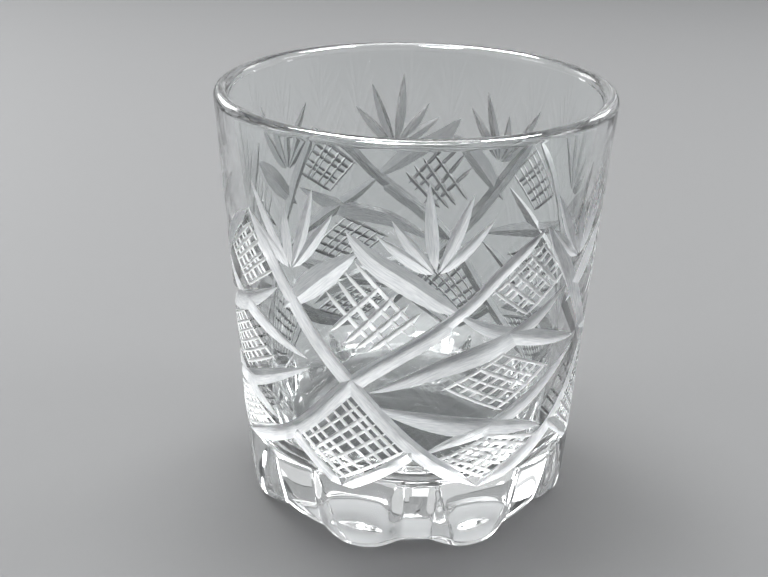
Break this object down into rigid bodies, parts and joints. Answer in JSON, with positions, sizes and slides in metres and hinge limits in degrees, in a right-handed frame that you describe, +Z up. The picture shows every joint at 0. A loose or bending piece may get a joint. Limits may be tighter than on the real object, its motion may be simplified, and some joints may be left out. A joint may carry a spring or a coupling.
{
  "type": "whiskey tumbler",
  "caption": "Cut-crystal whiskey tumbler: one piece of clear glass with a rounded rim, a thick base and a fluted foot.",
  "frame": {"origin": "middle of the foot's underside, on the plane that the glass stands on", "axes": "+Z up along the glass's axis, from the foot to the open rim; +X to the right and -Y to the front"},
  "size_m": [0.081, 0.081, 0.09],
  "materials": {
    "clear_crystal": "polished clear crystal with satin wheel cuts"
  },
  "bodies": {
    "root": {"tumbler_glass": "clear_crystal"}
  },
  "joints": []
}
